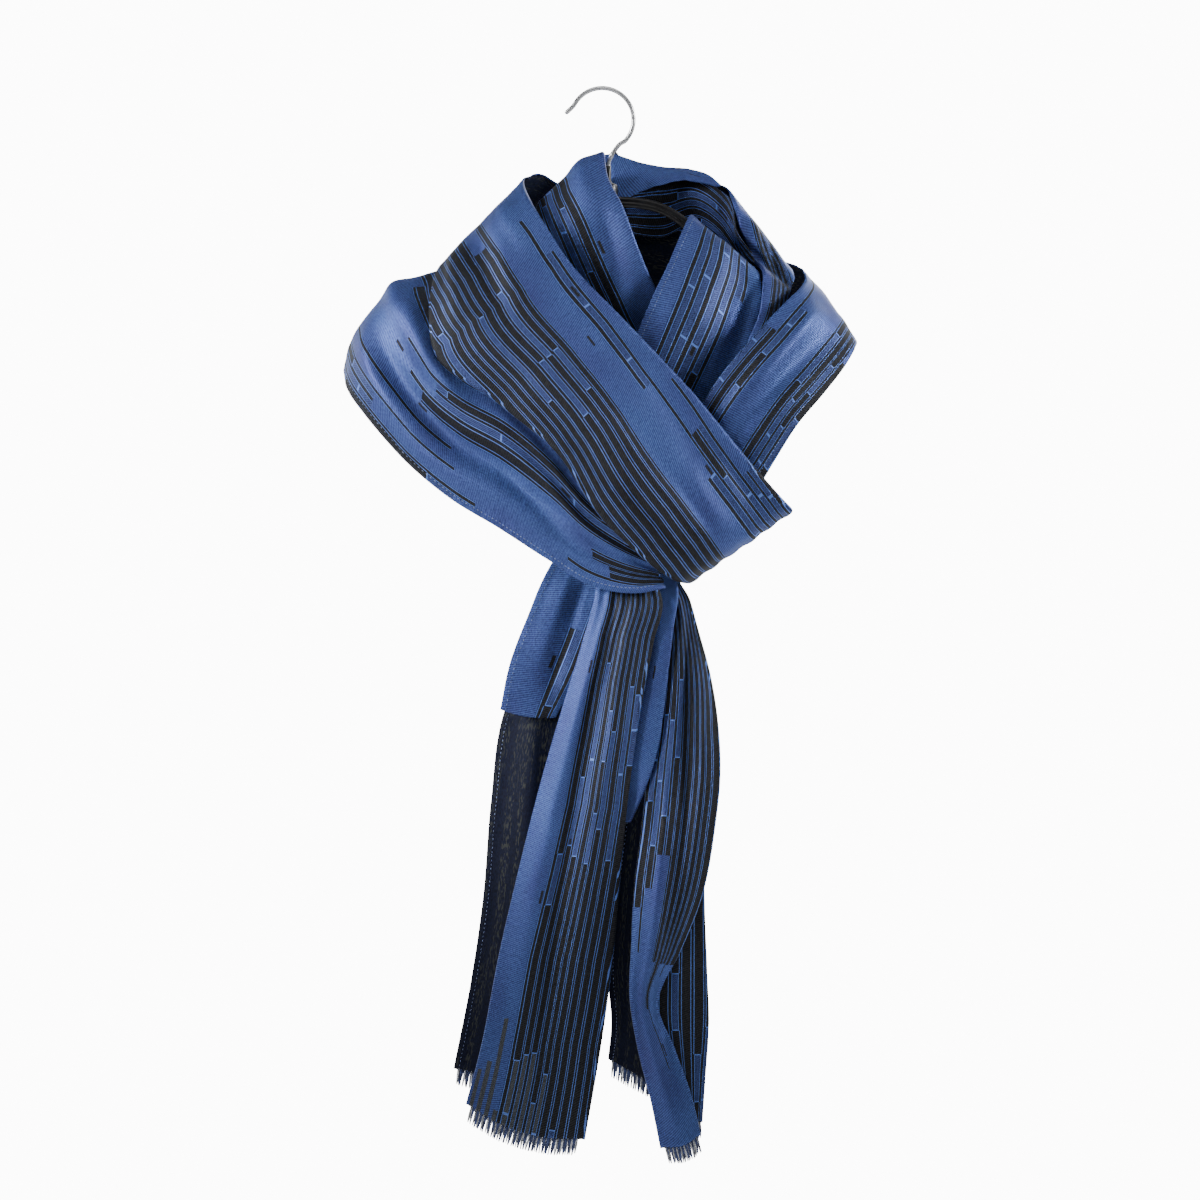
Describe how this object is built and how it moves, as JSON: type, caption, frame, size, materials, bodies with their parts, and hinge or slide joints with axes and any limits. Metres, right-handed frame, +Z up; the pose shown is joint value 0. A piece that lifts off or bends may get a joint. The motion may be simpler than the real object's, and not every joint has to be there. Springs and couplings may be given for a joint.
{
  "type": "silk scarf on a hanger",
  "caption": "Long jacquard silk scarf folded in half and looped round a small hanger, with both fringed ends pulled through the fold and hanging in front.",
  "frame": {"origin": "inside top of the hanger's hook, where it rests on a rail", "axes": "+Z up; +X to the right as the front is looked at; -Y out of the front, towards the looker"},
  "size_m": [0.3183, 0.1392, 0.6639],
  "materials": {
    "hanger_hook": "polished",
    "hanger_neck": "satin black",
    "hanger_arms": "satin black",
    "front_band": "blue silk satin, face",
    "back_upper": "blue silk satin, face",
    "right_shoulder": "blue silk satin, face",
    "right_mid_fold": "blue silk satin, face",
    "lower_band": "blue silk satin, face",
    "back_lower": "blue silk satin, face",
    "right_outer": "blue silk satin, face",
    "tail_right_front": "blue silk satin, face",
    "inner_left": "blue silk satin, face",
    "right_inner": "blue silk satin, face",
    "collar_fold": "blue silk satin, face",
    "collar_inner": "blue silk satin, face",
    "tail_left_front": "blue silk satin, face",
    "tail_left_flap": "blue silk satin, face",
    "tail_left_mid": "blue silk satin, face",
    "tail_right_side": "blue silk satin, face",
    "knot_return": "navy reverse of the silk",
    "back_inner": "navy reverse of the silk",
    "tail_left_back": "navy reverse of the silk",
    "tail_right_back": "navy reverse of the silk",
    "fringe_left_front": "loose yarn ends",
    "fringe_left_back": "loose yarn ends",
    "fringe_right_front": "loose yarn ends",
    "fringe_right_side": "loose yarn ends",
    "fringe_right_back": "loose yarn ends"
  },
  "bodies": {
    "root": {"hanger_hook": "hanger_hook", "hanger_neck": "hanger_neck", "hanger_arms": "hanger_arms", "front_band": "front_band", "back_upper": "back_upper", "right_shoulder": "right_shoulder", "right_mid_fold": "right_mid_fold", "lower_band": "lower_band", "back_lower": "back_lower", "right_outer": "right_outer", "tail_right_front": "tail_right_front", "inner_left": "inner_left", "right_inner": "right_inner", "collar_fold": "collar_fold", "collar_inner": "collar_inner", "tail_left_front": "tail_left_front", "tail_left_flap": "tail_left_flap", "tail_left_mid": "tail_left_mid", "tail_right_side": "tail_right_side", "knot_return": "knot_return", "back_inner": "back_inner", "tail_left_back": "tail_left_back", "tail_right_back": "tail_right_back", "fringe_left_front": "fringe_left_front", "fringe_left_back": "fringe_left_back", "fringe_right_front": "fringe_right_front", "fringe_right_side": "fringe_right_side", "fringe_right_back": "fringe_right_back"}
  },
  "joints": []
}
